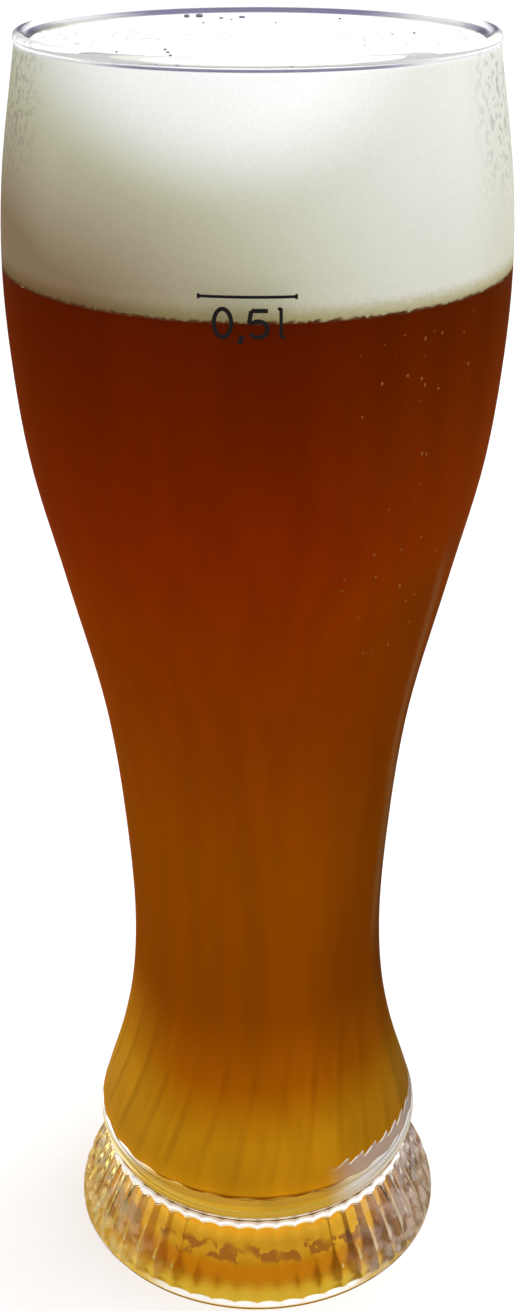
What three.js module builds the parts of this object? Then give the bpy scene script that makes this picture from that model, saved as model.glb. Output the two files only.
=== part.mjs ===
// A tall wheat beer glass, filled: a thick fluted foot, a round bulb over a groove, a slim waist, a
// wide belly and a mouth with a rounded bead. It holds hazy amber beer up to just under its
// half-litre mark, and a white head of foam that fills the rest almost to the rim.
// Millimetres, +Z up. The origin is the middle of the underside, on the surface it stands on.
// The side with the fill mark faces -Y.

import * as THREE from "three";

// Outside of the glass
const HEIGHT = 238;
const MOUTH_RADIUS = 38.6;
const BELLY_RADIUS = 42.6;
const BELLY_HEIGHT = 201;
const WAIST_RADIUS = 24.4;
const WAIST_HEIGHT = 70;
const BULB_RADIUS = 32.9;
const BULB_HEIGHT = 24;
const GROOVE_RADIUS = 30.4;
const GROOVE_HEIGHT = 17;
const FOOT_RADIUS = 37.7;
const SCALLOP_RADIUS = 31.2;

// Rim bead, foot edge and the hollow under the foot
const BEAD_RADIUS = 0.95;
const BEAD_OVERHANG = 0.2;
const FOOT_EDGE_HEIGHT = 1.3;
const FOOT_ROUNDING = 0.6;
const STANDING_RING_WIDTH = 4;
const HOLLOW_DEPTH = 3;
const HOLLOW_BEND = 0.6;

// Wall and inside
const MOUTH_WALL = 2.2;
const BODY_WALL = 3.1;
const BULB_WALL = 3.4;
const INSIDE_BOTTOM = 17.8;
const INSIDE_BOWL_HEIGHT = 6.4;

// Flutes round the foot, and the faint twisted ribs inside the bulb
const FLUTES = 52;
const FLUTE_DEPTH = 0.75;
const RIBS = 26;
const RIB_DEPTH = 0.5;
const RIB_TOP = 66;
const RIB_TWIST = THREE.MathUtils.degToRad(20);

// Contents
const BEER_LINE = 200.9;
const FOAM_EDGE = 236.2;
const FOAM_ROUNDING = 0.7;
const FOAM_CROWN = 0.35;
const FOAM_RELIEF = 0.16;
const GAP = 0.3;

// Facets
const SEGMENTS = 2 * FLUTES;
const CONTENT_SEGMENTS = FLUTES;
const WALL_STEP = 15;
const INSIDE_STEP = 19;

const { lerp, smoothstep, degToRad } = THREE.MathUtils;

// Outline of the body from the groove up to the bead, as radius over height
const bodyOutline = new THREE.CatmullRomCurve3(
  [
    [GROOVE_RADIUS, GROOVE_HEIGHT],
    [BULB_RADIUS - 0.8, GROOVE_HEIGHT + 2.6],
    [BULB_RADIUS, BULB_HEIGHT],
    [BULB_RADIUS - 1.5, BULB_HEIGHT + 6],
    [28.1, 41],
    [25.5, 54],
    [WAIST_RADIUS, WAIST_HEIGHT],
    [25.4, 92],
    [28.4, 118],
    [34.8, 146],
    [39.9, 168],
    [BELLY_RADIUS - 0.6, BELLY_HEIGHT - 15],
    [BELLY_RADIUS, BELLY_HEIGHT],
    [BELLY_RADIUS - 0.9, BELLY_HEIGHT + 15],
    [MOUTH_RADIUS, HEIGHT - 2 * BEAD_RADIUS],
  ].map(([radius, height]) => new THREE.Vector3(radius, 0, height)),
  false,
  "centripetal",
);
const outlinePoints = bodyOutline.getPoints(1400);

// Outer radius of the body at a height, read from the outline
function outerRadius(height) {
  const above = outlinePoints.findIndex((point) => point.z >= height);
  if (above < 0) return MOUTH_RADIUS;
  if (above === 0) return GROOVE_RADIUS;
  const low = outlinePoints[above - 1];
  const high = outlinePoints[above];
  return lerp(low.x, high.x, (height - low.z) / (high.z - low.z));
}

// The wall is thin at the mouth and thick in the bulb
function wallThickness(height) {
  if (height > BELLY_HEIGHT) {
    return lerp(BODY_WALL, MOUTH_WALL, (height - BELLY_HEIGHT) / (HEIGHT - BELLY_HEIGHT));
  }
  return lerp(BULB_WALL, BODY_WALL, smoothstep(height, BULB_HEIGHT, 2 * WAIST_HEIGHT));
}

// Inner radius at a height, rounded in to the axis at the bottom like a bowl
function innerRadius(height) {
  const side = outerRadius(height) - wallThickness(height);
  const rise = Math.min((height - INSIDE_BOTTOM) / INSIDE_BOWL_HEIGHT, 1);
  return side * Math.pow(1 - (1 - rise) ** 2, 0.42);
}

// Depth of the inner ribs at a height: strongest low in the bulb, gone above the waist
function ribDepth(height) {
  const fadeIn = smoothstep(height, INSIDE_BOTTOM + 0.3, INSIDE_BOTTOM + 3);
  return RIB_DEPTH * fadeIn * (1 - smoothstep(height, BULB_HEIGHT + 8, RIB_TOP));
}

// Heights from one level to another in even steps no longer than `step`
function levels(from, to, step) {
  const count = Math.max(1, Math.ceil(Math.abs(to - from) / step));
  return Array.from({ length: count + 1 }, (_, i) => lerp(from, to, i / count));
}

// A closed body turned about the axis. Each ring has a radius, a height, a number of ridges with
// their depth, and a twist, and may add relief to its height. Both ends of the body are on the axis.
function turnedBody(segments, startHeight, rings, endHeight) {
  const positions = [0, 0, startHeight];
  for (const ring of rings) {
    const { radius, height, ridges = 0, depth = 0, twist = 0, relief = () => 0 } = ring;
    for (let i = 0; i < segments; i++) {
      const angle = (2 * Math.PI * i) / segments;
      const reach = radius + (depth / 2) * Math.cos(ridges * angle);
      const turned = angle + twist;
      positions.push(reach * Math.cos(turned), reach * Math.sin(turned), height + relief(angle));
    }
  }
  positions.push(0, 0, endHeight);

  const indices = [];
  const last = positions.length / 3 - 1;
  const vertex = (ring, i) => 1 + ring * segments + (i % segments);
  for (let i = 0; i < segments; i++) {
    indices.push(0, vertex(0, i + 1), vertex(0, i));
    for (let ring = 0; ring + 1 < rings.length; ring++) {
      const [a, b] = [vertex(ring, i), vertex(ring, i + 1)];
      const [c, d] = [vertex(ring + 1, i + 1), vertex(ring + 1, i)];
      indices.push(a, b, c, a, c, d);
    }
    indices.push(vertex(rings.length - 1, i), vertex(rings.length - 1, i + 1), last);
  }

  const geometry = new THREE.BufferGeometry();
  geometry.setAttribute("position", new THREE.Float32BufferAttribute(positions, 3));
  geometry.setIndex(indices);
  geometry.computeVertexNormals();
  return geometry;
}

// Underside: a shallow hollow inside a flat ring that the glass stands on
function undersideRings() {
  const ringOuter = FOOT_RADIUS - FOOT_ROUNDING;
  const ringInner = ringOuter - STANDING_RING_WIDTH;
  return [
    { radius: ringInner * HOLLOW_BEND, height: HOLLOW_DEPTH * (1 - HOLLOW_BEND ** 2) },
    { radius: ringInner, height: 0 },
    { radius: ringOuter, height: 0 },
  ];
}

// Side of the foot: a plain edge at the base, then flutes that lean in and end in a scalloped bead
function footRings() {
  const fluted = [
    [FOOT_RADIUS - 0.4, FOOT_EDGE_HEIGHT + 1.2],
    [lerp(FOOT_RADIUS, SCALLOP_RADIUS, 0.36), 7],
    [lerp(FOOT_RADIUS, SCALLOP_RADIUS, 0.73), 12],
    [SCALLOP_RADIUS, GROOVE_HEIGHT - 1.5],
    [SCALLOP_RADIUS + 0.2, GROOVE_HEIGHT - 0.8],
    [SCALLOP_RADIUS - 0.2, GROOVE_HEIGHT - 0.3],
  ];
  return [
    { radius: FOOT_RADIUS, height: FOOT_ROUNDING },
    { radius: FOOT_RADIUS, height: FOOT_EDGE_HEIGHT },
    ...fluted.map(([radius, height]) => ({ radius, height, ridges: FLUTES, depth: FLUTE_DEPTH })),
    { radius: GROOVE_RADIUS, height: GROOVE_HEIGHT },
  ];
}

// Outside of the body, from the groove up to the bead
function outerRings() {
  const bulb = [1.3, 3.2, 6, 9.5, 13.5, 18].map((rise) => GROOVE_HEIGHT + rise);
  const wall = levels(bulb.at(-1), HEIGHT - 2 * BEAD_RADIUS, WALL_STEP).slice(1);
  return [...bulb, ...wall].map((height) => ({ radius: outerRadius(height), height }));
}

// Rounded bead round the mouth, from its outer underside over the top to the inside
function beadRings() {
  const centreRadius = MOUTH_RADIUS + BEAD_OVERHANG - BEAD_RADIUS;
  return [-30, 30, 90, 150].map((degrees) => ({
    radius: centreRadius + BEAD_RADIUS * Math.cos(degToRad(degrees)),
    height: HEIGHT - BEAD_RADIUS + BEAD_RADIUS * Math.sin(degToRad(degrees)),
  }));
}

// Heights of the rings inside the glass, from the bowl at the bottom up to the mouth
function insideLevels() {
  const bowl = [0.05, 0.22, 0.5, 1].map((share) => INSIDE_BOTTOM + share * INSIDE_BOWL_HEIGHT);
  return [...bowl, 30, 38.5, 47.5, 56.5, ...levels(RIB_TOP, HEIGHT - 2.2 * BEAD_RADIUS, INSIDE_STEP)];
}

// Inside of the glass, from the mouth down. The ribs lean: they turn back below their top.
function innerRings() {
  const twistPerHeight = RIB_TWIST / (RIB_TOP - INSIDE_BOTTOM);
  return insideLevels()
    .reverse()
    .map((height) => ({
      radius: innerRadius(height),
      height,
      ridges: RIBS,
      depth: ribDepth(height),
      twist: twistPerHeight * Math.min(height - RIB_TOP, 0),
    }));
}

// Side of the contents between two levels, clear of the wall and its ribs
function contentSide(low, high) {
  const clearance = GAP + RIB_DEPTH / 2;
  const between = insideLevels().filter((height) => height > low && height < high - GAP);
  const side = between.map((height) => ({
    radius: innerRadius(height) - clearance,
    height: height + GAP,
  }));
  return [...side, { radius: innerRadius(high) - clearance, height: high }];
}

// Beer follows the inside of the glass up to the line where the foam starts
function beerRings() {
  return contentSide(INSIDE_BOTTOM, BEER_LINE - GAP / 2);
}

// Foam stands on the beer and ends just under the rim, with a slightly uneven, crowned top
function foamRings() {
  const start = BEER_LINE + GAP / 2;
  const side = contentSide(start, FOAM_EDGE - FOAM_ROUNDING);
  const edge = side.at(-1).radius;
  const relief = (share) => (angle) =>
    FOAM_RELIEF * (Math.sin(3 * angle + 5 * share) + 0.6 * Math.sin(7 * angle + 2));
  const top = [0.985, 0.92, 0.75, 0.5, 0.25].map((share) => ({
    radius: edge * share,
    height: FOAM_EDGE + FOAM_CROWN * (1 - share ** 2),
    relief: relief(share),
  }));
  return [{ radius: contentSide(0, start).at(-1).radius, height: start }, ...side, ...top];
}

function piece(name, geometry, material) {
  const mesh = new THREE.Mesh(geometry, new THREE.MeshStandardMaterial(material));
  mesh.name = name;
  return mesh;
}

const glassRings = [
  ...undersideRings(),
  ...footRings(),
  ...outerRings(),
  ...beadRings(),
  ...innerRings(),
];
const glass = piece("glass", turnedBody(SEGMENTS, HOLLOW_DEPTH, glassRings, INSIDE_BOTTOM), {
  color: 0xe6eaec,
  roughness: 0.04,
  metalness: 0,
  transparent: true,
  opacity: 0.35,
});

const beer = piece(
  "beer",
  turnedBody(CONTENT_SEGMENTS, INSIDE_BOTTOM + GAP, beerRings(), BEER_LINE - GAP / 2),
  { color: 0x7a3200, roughness: 0.2, metalness: 0 },
);

const foam = piece(
  "foam",
  turnedBody(CONTENT_SEGMENTS, BEER_LINE + GAP / 2, foamRings(), FOAM_EDGE + FOAM_CROWN),
  { color: 0xf4f2ea, roughness: 0.9, metalness: 0 },
);

const group = new THREE.Group();
group.add(glass, beer, foam);

export default group;
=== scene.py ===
"""A filled half-litre wheat beer glass: clear fluted glass, hazy amber beer and white foam."""

import math
import random

import bmesh
import bpy
import numpy as np
from bpy.props import FloatProperty, FloatVectorProperty, IntProperty, PointerProperty
from mathutils import Matrix, Vector, noise


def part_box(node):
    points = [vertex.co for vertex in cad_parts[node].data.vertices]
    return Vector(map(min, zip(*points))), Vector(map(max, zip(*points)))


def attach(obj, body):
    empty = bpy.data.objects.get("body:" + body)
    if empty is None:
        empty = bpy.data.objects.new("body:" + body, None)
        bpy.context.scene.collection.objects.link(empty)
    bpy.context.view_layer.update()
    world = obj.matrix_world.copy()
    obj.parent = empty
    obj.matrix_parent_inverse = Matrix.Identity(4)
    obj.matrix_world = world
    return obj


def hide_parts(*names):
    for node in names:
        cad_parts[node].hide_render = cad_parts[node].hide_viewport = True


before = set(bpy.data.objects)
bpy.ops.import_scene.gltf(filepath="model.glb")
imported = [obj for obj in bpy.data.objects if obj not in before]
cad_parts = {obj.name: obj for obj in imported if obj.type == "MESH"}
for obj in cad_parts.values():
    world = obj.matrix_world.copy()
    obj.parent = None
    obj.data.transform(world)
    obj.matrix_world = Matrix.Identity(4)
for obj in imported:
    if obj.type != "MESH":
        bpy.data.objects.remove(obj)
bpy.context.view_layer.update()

bl_info = {
    "name": "Wheat Beer Glass",
    "version": (1, 0, 0),
    "blender": (4, 5, 0),
    "location": "3D View > Sidebar > Beer",
    "description": "Builds a filled wheat beer glass on a pale studio floor",
    "category": "Add Mesh",
}

MM = 0.001
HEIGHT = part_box("glass")[1][2]
BEER_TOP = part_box("beer")[1][2]
FOAM_BOTTOM, FOAM_TOP = (corner[2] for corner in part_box("foam"))
BEER_LINE = (BEER_TOP + FOAM_BOTTOM) / 2

# Height of the photograph in pixels, and its camera as found by a perspective fit of the outline
PHOTO_HEIGHT = 1311
FOCAL_PIXELS = 1751.85
CAMERA_DISTANCE = 293.7 * MM
CAMERA_HEIGHT = 270.2 * MM
CAMERA_PITCH = math.radians(26.0)
SENSOR = 36.0

# Mean light on the front of the glass, against which the colours of the drink were matched
STUDIO_LIGHT = 1.16

# The stage in metres: half the floor's width, the lamp's place, size and aim, and the bright side
FLOOR_REACH = 5.0
LAMP_PLACE = (0.55, 0.25, 0.85)
LAMP_SIZE = 0.6
LAMP_AIM = (0, 0, 0.15)
BRIGHT_SIDE = (0.7, 0.15, 0.7)

# Outline of the glass from the groove up to the bead: radius, height, in millimetres
BODY_OUTLINE = [
    (30.4, 17.0), (32.1, 19.6), (32.9, 24.0), (31.4, 30.0), (28.1, 41.0),
    (25.5, 54.0), (24.4, 70.0), (25.4, 92.0), (28.4, 118.0), (34.8, 146.0),
    (39.9, 168.0), (42.0, 186.0), (42.6, 201.0), (41.7, 216.0), (38.6, 236.1),
]
GROOVE_HEIGHT = 17 * MM
SCALLOP_RADIUS = 31.2 * MM
SCALLOP_BEAD = 0.5 * MM
FOOT_RADIUS = 37.7 * MM
FOOT_EDGE_HEIGHT = 1.3 * MM
STANDING_RING = 4 * MM
HOLLOW_DEPTH = 3 * MM
FOOT_ROUNDING = 0.6 * MM
BEAD_RADIUS = 0.95 * MM
BEAD_OVERHANG = 0.2 * MM
BELLY_HEIGHT = 201 * MM
WAIST_HEIGHT = 70 * MM
BULB_HEIGHT = 24 * MM
INSIDE_BOTTOM = 17.8 * MM
BOWL_HEIGHT = 6.4 * MM
BOWL_ROUNDNESS = 0.42
RIB_TOP = 66 * MM
FRONT = -math.pi / 2
GLASS_IOR = 1.5

# Painted zones of light, shade and reflection on the glass, as lowest height, highest height and
# softness of their edges
EDGE_LINE = (0.85 * MM, 1.05 * MM, 0.15 * MM)
EDGE_GLEAM = (1.4 * MM, 2.1 * MM, 0.3 * MM)
DEEP_ZONE = (6.5 * MM, 8.5 * MM, 2.5 * MM)
SPOT_ZONE = (9.8 * MM, 11.8 * MM, 1.2 * MM)
GROOVE_LINE = (GROOVE_HEIGHT - 0.1 * MM, GROOVE_HEIGHT + 0.2 * MM, 0.15 * MM)
GROOVE_GLEAMS = (
    (GROOVE_HEIGHT - 1.1 * MM, GROOVE_HEIGHT - 0.4 * MM, 0.2 * MM),
    (GROOVE_HEIGHT + 0.5 * MM, GROOVE_HEIGHT + 1.4 * MM, 0.2 * MM),
)
UNDER_BEER_ZONE = (GROOVE_HEIGHT + 1 * MM, 23.8 * MM, 0.7 * MM)
RING_ZONE = (23.3 * MM, 24.9 * MM, 0.8 * MM)
BESIDE_BEER_ZONE = (42 * MM, BEER_LINE - 3 * MM, 6 * MM)
FRONT_RIM_LINE = (HEIGHT - 1.8 * MM, HEIGHT - 1.5 * MM, 0.15 * MM)
BACK_RIM_LINE = (HEIGHT - 1.45 * MM, HEIGHT - 0.85 * MM, 0.25 * MM)

# The beige patch, a painted reflection: its upper edge, which its teeth and grain move by about
# half a millimetre
PATCH_TOP = 28.4 * MM

# Tints of the painted light, shade and reflections; the groove and edge tints are painted dark
# lines of shade
PALE_GOLD = (1.0, 0.97, 0.75)
PALE_BLUE = (0.75, 0.95, 1.0)
PALE_TAN = (0.85, 0.75, 0.45)
BEIGE = (0.5, 0.47, 0.45)
GROOVE_SHADE = (0.25, 0.25, 0.34)
EDGE_SHADE = (0.35, 0.32, 0.45)
FOOT_GOLD = (1.0, 0.86, 0.42)
FOOT_MAUVE = (0.80, 0.69, 0.64)
BEER_GLEAM = (0.9, 0.65, 0.30)
WHITE = (1.0, 1.0, 1.0)

# The beer's colours and their heights, from its golden bottom to the red-brown at its top
BEER_STOPS = (
    ("base_color", BULB_HEIGHT),
    ("base_color", 33 * MM),
    ("bulb_color", 45 * MM),
    ("waist_color", 60 * MM),
    ("waist_color", 95 * MM),
    ("middle_color", 132 * MM),
    ("belly_color", 160 * MM),
    ("top_color", BEER_LINE),
)

# Heights of the painted reflection, a pale streak down the beer, and the softness of its ends
REFLECTION_STREAK_ZONE = (75 * MM, 148 * MM, 12 * MM)

# Painted light: the foam is whitest left of the middle, at the top, within this reach sideways and
# down
LIT_SPOT_PLACE = -6 * MM
LIT_SPOT_REACH = (25 * MM, 18 * MM)

# Fill line and the measure's lower left corner, as (sideways, height) on the front of the glass
MARK_LINE_PLACE = (-1.5 * MM, 205.5 * MM)
MEASURE_CORNER = (-6.73 * MM, 199.25 * MM)
MARK_LINE_WIDTH = 0.44 * MM
MARK_TICK_WIDTH = 0.4 * MM
MARK_TICK_REACH = 0.37 * MM
ENAMEL_LIFT = 0.03 * MM

# How far the beer and the foam reach into the wall, so that no gap shows
BEER_OVERLAP = 0.15 * MM
FOAM_OVERLAP = 0.18 * MM

# Yeast flecks: their heights, and how far round to the right of the front they are, in degrees
FLECK_HEIGHTS = (140 * MM, 200 * MM)
FLECK_DIRECTION = 42
FLECK_SPREAD = 11

# Open bubbles: place on the foam and radius of the large ones, and the number of small ones
LARGE_BUBBLES = (
    (-12.4 * MM, 31.4 * MM, 0.55 * MM),
    (-10.2 * MM, 31.8 * MM, 0.7 * MM),
    (-6.3 * MM, 27.5 * MM, 0.45 * MM),
    (-2.7 * MM, 29.0 * MM, 0.6 * MM),
)
SMALL_BUBBLES = 14

# What colours and shares have in common in the sidebar
COLOR = {"min": 0, "max": 1, "subtype": "COLOR"}
SHARE = {"min": 0, "max": 1, "subtype": "FACTOR"}


class GlassSettings(bpy.types.PropertyGroup):
    mouth_wall: FloatProperty(
        name="Wall at the Mouth",
        description="Thickness of the glass just under the rim",
        default=2.2 * MM,
        unit="LENGTH",
    )
    body_wall: FloatProperty(
        name="Wall of the Body",
        description="Thickness of the glass from the belly to the waist",
        default=3.1 * MM,
        unit="LENGTH",
    )
    bulb_wall: FloatProperty(
        name="Wall of the Bulb",
        description="Thickness of the glass low in the bulb",
        default=3.4 * MM,
        unit="LENGTH",
    )
    flutes: IntProperty(
        name="Flutes",
        description="Number of flutes round the foot",
        default=52,
        min=8,
    )
    flute_depth: FloatProperty(
        name="Flute Depth",
        description="Depth of the flutes between their ridges",
        default=0.75 * MM,
        unit="LENGTH",
    )
    ribs: IntProperty(
        name="Ribs",
        description="Number of slanting ribs on the inside of the bulb",
        default=26,
        min=4,
    )
    rib_depth: FloatProperty(
        name="Rib Depth",
        description="Depth of the ribs on the inside of the bulb",
        default=0.5 * MM,
        unit="LENGTH",
    )
    rib_twist: FloatProperty(
        name="Rib Twist",
        description="How far the ribs turn from their foot to their top",
        default=math.radians(20),
        subtype="ANGLE",
    )
    tint: FloatVectorProperty(
        name="Glass Tint",
        description="Colour that light takes on in the wall",
        default=(0.985, 0.99, 0.985),
        **COLOR,
    )
    # Painted light: the foot's amber and its deeper amber stand for the beer's light seen through
    # the clear foot
    foot_tint: FloatVectorProperty(
        name="Foot Tint",
        description="Amber that the beer's light gives to the middle of the thick foot",
        default=(0.66, 0.61, 0.36),
        **COLOR,
    )
    deep_tint: FloatVectorProperty(
        name="Deep Amber",
        description="Deeper amber low in the foot",
        default=(0.58, 0.44, 0.06),
        **COLOR,
    )
    spot_tint: FloatVectorProperty(
        name="Brown Spots",
        description="Brown of the uneven spots round the middle of the foot",
        default=(0.36, 0.22, 0.33),
        **COLOR,
    )
    # Painted light: the beer's tan light seen in the clear glass under the beer
    under_beer_light: FloatVectorProperty(
        name="Bottom Tint",
        description="Tan of the clear glass under the beer",
        default=(0.50, 0.31, 0.04),
        **COLOR,
    )
    # Painted shade: a mauve brown ring in the clear glass where the beer ends
    ring_shade: FloatVectorProperty(
        name="Ring Tint",
        description="Mauve brown of the ring where the beer ends",
        default=(0.40, 0.245, 0.05),
        **COLOR,
    )
    # Painted shade and reflection: the dark violet line under the rim's bead, also the dark tint
    # of the reflection at the contour
    rim_shade: FloatVectorProperty(
        name="Rim Line",
        description="Dark violet line that runs round under the bead of the rim",
        default=(0.13, 0.10, 0.22),
        **COLOR,
    )
    wall_mirror: FloatProperty(
        name="Wall Reflection",
        description="How much of its full reflection the smooth wall shows",
        default=0.03,
        **SHARE,
    )


class BeerSettings(bpy.types.PropertyGroup):
    top_color: FloatVectorProperty(
        name="Under the Foam",
        description="Deep red-brown just below the foam",
        default=(0.09, 0.0072, 0.0),
        **COLOR,
    )
    belly_color: FloatVectorProperty(
        name="Belly",
        description="Red-brown where the belly narrows",
        default=(0.182, 0.0155, 0.0),
        **COLOR,
    )
    middle_color: FloatVectorProperty(
        name="Middle",
        description="Brown between the belly and the waist",
        default=(0.21, 0.03, 0.0),
        **COLOR,
    )
    waist_color: FloatVectorProperty(
        name="Waist",
        description="Amber brown at the waist",
        default=(0.232, 0.0475, 0.0),
        **COLOR,
    )
    bulb_color: FloatVectorProperty(
        name="Bulb",
        description="Amber where the bulb widens",
        default=(0.323, 0.08, 0.0004),
        **COLOR,
    )
    base_color: FloatVectorProperty(
        name="Bottom",
        description="Golden amber at the bottom of the bulb",
        default=(0.46, 0.19, 0.003),
        **COLOR,
    )
    thin_color: FloatVectorProperty(
        name="Thin Beer",
        description="Yellow where light comes through little beer",
        default=(0.48, 0.215, 0.008),
        **COLOR,
    )
    right_shade: FloatProperty(
        name="Shade at the Right",
        description="How much darker the beer is along its right side",
        default=0.38,
        **SHARE,
    )
    # A painted reflection on the beer
    reflection_streak_color: FloatVectorProperty(
        name="Pale Streak",
        description="Pale brown streak down the right side",
        default=(0.16, 0.060, 0.016),
        **COLOR,
    )
    under_color: FloatVectorProperty(
        name="Underside",
        description="Golden light of the beer seen through the foot",
        default=(0.71, 0.385, 0.03),
        **COLOR,
    )
    glow: FloatProperty(
        name="Light through the Beer",
        description="Share of the beer's light that comes through it, not from the front",
        default=0.6,
        **SHARE,
    )


class FoamSettings(bpy.types.PropertyGroup):
    color: FloatVectorProperty(
        name="Foam",
        description="White of the fresh foam",
        default=(0.84, 0.84, 0.83),
        **COLOR,
    )
    # From dull to wet, the foam's colours are steps of painted shade, darkest low on the left, and
    # browner towards the beer where the foam is wet
    dull_shade_color: FloatVectorProperty(
        name="Dull Foam",
        description="Grey white of the foam behind the wall",
        default=(0.61, 0.615, 0.55),
        **COLOR,
    )
    damp_shade_color: FloatVectorProperty(
        name="Damp Foam",
        description="Beige of the foam a little above the beer",
        default=(0.41, 0.395, 0.275),
        **COLOR,
    )
    wet_shade_color: FloatVectorProperty(
        name="Wet Foam",
        description="Olive brown of the foam just above the beer",
        default=(0.205, 0.14, 0.08),
        **COLOR,
    )
    soaked_tint: FloatVectorProperty(
        name="Soaked Edge",
        description="Tint of the foam just above the beer, where beer is soaked up",
        default=(0.66, 0.59, 0.37),
        **COLOR,
    )
    hem_color: FloatVectorProperty(
        name="Foam Hem",
        description="Brown of the thin lowest foam, mixed with beer",
        default=(0.085, 0.016, 0.002),
        **COLOR,
    )
    # Painted shade: the grey in the open pits
    pit_shade_color: FloatVectorProperty(
        name="Pits",
        description="Grey of the open pits at the side of the foam",
        default=(0.12, 0.13, 0.13),
        **COLOR,
    )
    grain: FloatProperty(
        name="Bubble Size",
        description="Size of the fine bubbles in the foam",
        default=0.35 * MM,
        unit="LENGTH",
    )


class MarkSettings(bpy.types.PropertyGroup):
    line_length: FloatProperty(
        name="Line Length",
        description="Length of the fill line",
        default=14.4 * MM,
        unit="LENGTH",
    )
    letter_height: FloatProperty(
        name="Letter Height",
        description="Height of the measure printed under the line",
        default=4.8 * MM,
        unit="LENGTH",
    )
    stroke: FloatProperty(
        name="Stroke Width",
        description="Width of the strokes of the measure",
        default=0.64 * MM,
        unit="LENGTH",
    )
    color: FloatVectorProperty(
        name="Enamel",
        description="Dark brown-black enamel of the fill mark",
        default=(0.004, 0.003, 0.003),
        **COLOR,
    )


class SpecksSettings(bpy.types.PropertyGroup):
    flecks: IntProperty(
        name="Flecks",
        description="Number of yeast flecks on the inside of the wall",
        default=46,
        min=0,
    )
    fleck_color: FloatVectorProperty(
        name="Fleck",
        description="Tan of the yeast flecks",
        default=(0.16, 0.055, 0.012),
        **COLOR,
    )
    # Painted shade of the open bubbles' hollows
    bubble_shade_color: FloatVectorProperty(
        name="Open Bubble",
        description="Grey of the open bubbles on the foam",
        default=(0.12, 0.12, 0.17),
        **COLOR,
    )


class StageSettings(bpy.types.PropertyGroup):
    floor_color: FloatVectorProperty(
        name="Floor",
        description="Pale studio floor",
        default=(0.82, 0.82, 0.82),
        **COLOR,
    )
    bright_light: FloatProperty(
        name="Light from the Right",
        description="Strength of the studio light above right",
        default=1.5,
    )
    dim_light: FloatProperty(
        name="Light from the Left",
        description="Strength of the studio light low on the left",
        default=0.95,
    )
    key_power: FloatProperty(
        name="Key Light",
        description="Power of the soft light above right",
        default=2.0,
        unit="POWER",
    )


class DrinkSettings(bpy.types.PropertyGroup):
    glass: PointerProperty(type=GlassSettings)
    beer: PointerProperty(type=BeerSettings)
    foam: PointerProperty(type=FoamSettings)
    mark: PointerProperty(type=MarkSettings)
    specks: PointerProperty(type=SpecksSettings)
    stage: PointerProperty(type=StageSettings)


def curve_through(points, steps):
    """Points of a centripetal Catmull-Rom curve through the given ones."""
    knots = [Vector(p) for p in points]
    ends = [2 * knots[0] - knots[1], *knots, 2 * knots[-1] - knots[-2]]
    out = []
    for p0, p1, p2, p3 in zip(ends, ends[1:], ends[2:], ends[3:]):
        d0, d1, d2 = ((b - a).length ** 0.5 for a, b in ((p0, p1), (p1, p2), (p2, p3)))
        t1 = ((p1 - p0) / d0 - (p2 - p0) / (d0 + d1) + (p2 - p1) / d1) * d1
        t2 = ((p2 - p1) / d1 - (p3 - p1) / (d1 + d2) + (p3 - p2) / d2) * d1
        for k in range(steps):
            w = k / steps
            bend = (2 * p1 - 2 * p2 + t1 + t2) * w**3 + (3 * (p2 - p1) - 2 * t1 - t2) * w**2
            out.append(p1 + t1 * w + bend)
    return [*out, knots[-1]]


OUTLINE = np.array([p[:] for p in curve_through(BODY_OUTLINE, 40)]) * MM


def arc(centre, radii, start, end, count):
    """Points on an ellipse between two angles in degrees."""
    return [
        (centre[0] + radii[0] * math.cos(a), centre[1] + radii[1] * math.sin(a))
        for a in np.radians(np.linspace(start, end, count))
    ]


def smooth(value, low, high):
    share = np.clip((value - low) / (high - low), 0, 1)
    return share * share * (3 - 2 * share)


def outer_radius(height):
    return np.interp(height, OUTLINE[:, 1], OUTLINE[:, 0])


def wall_thickness(height, glass):
    bulb_share = 1 - smooth(height, BULB_HEIGHT, 2 * WAIST_HEIGHT)
    mouth_share = np.clip((height - BELLY_HEIGHT) / (HEIGHT - BELLY_HEIGHT), 0, 1)
    return (
        glass.body_wall
        + (glass.bulb_wall - glass.body_wall) * bulb_share
        + (glass.mouth_wall - glass.body_wall) * mouth_share
    )


def inner_radius(height, glass):
    side = outer_radius(height) - wall_thickness(height, glass)
    rise = np.clip((height - INSIDE_BOTTOM) / BOWL_HEIGHT, 0, 1)
    return side * (1 - (1 - rise) ** 2) ** BOWL_ROUNDNESS


def rib_depth(height, glass):
    fade_in = smooth(height, INSIDE_BOTTOM + 0.3 * MM, INSIDE_BOTTOM + 3 * MM)
    return glass.rib_depth * fade_in * (1 - smooth(height, BULB_HEIGHT + 8 * MM, RIB_TOP))


def rib_turn(height, glass):
    return glass.rib_twist * np.minimum((height - RIB_TOP) / (RIB_TOP - INSIDE_BOTTOM), 0)


def sharp_ridges(angle, count):
    """Concave flutes between sharp ridges, from 0.5 on a ridge to -0.5 in a flute."""
    return 0.5 - np.abs(np.sin(count * angle / 2)) ** 0.9


def soft_ridges(angle, count):
    return 0.5 * np.cos(count * angle)


def mesh_piece(mesh, material):
    mesh.polygons.foreach_set("use_smooth", np.ones(len(mesh.polygons), dtype=bool))
    mesh.materials.append(material)
    piece = bpy.data.objects.new(mesh.name, mesh)
    bpy.context.collection.objects.link(piece)
    return piece


def mesh_object(name, vertices, faces, material):
    mesh = bpy.data.meshes.new(name)
    mesh.from_pydata(vertices.tolist(), [], faces)
    mesh.update()
    return mesh_piece(mesh, material)


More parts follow.
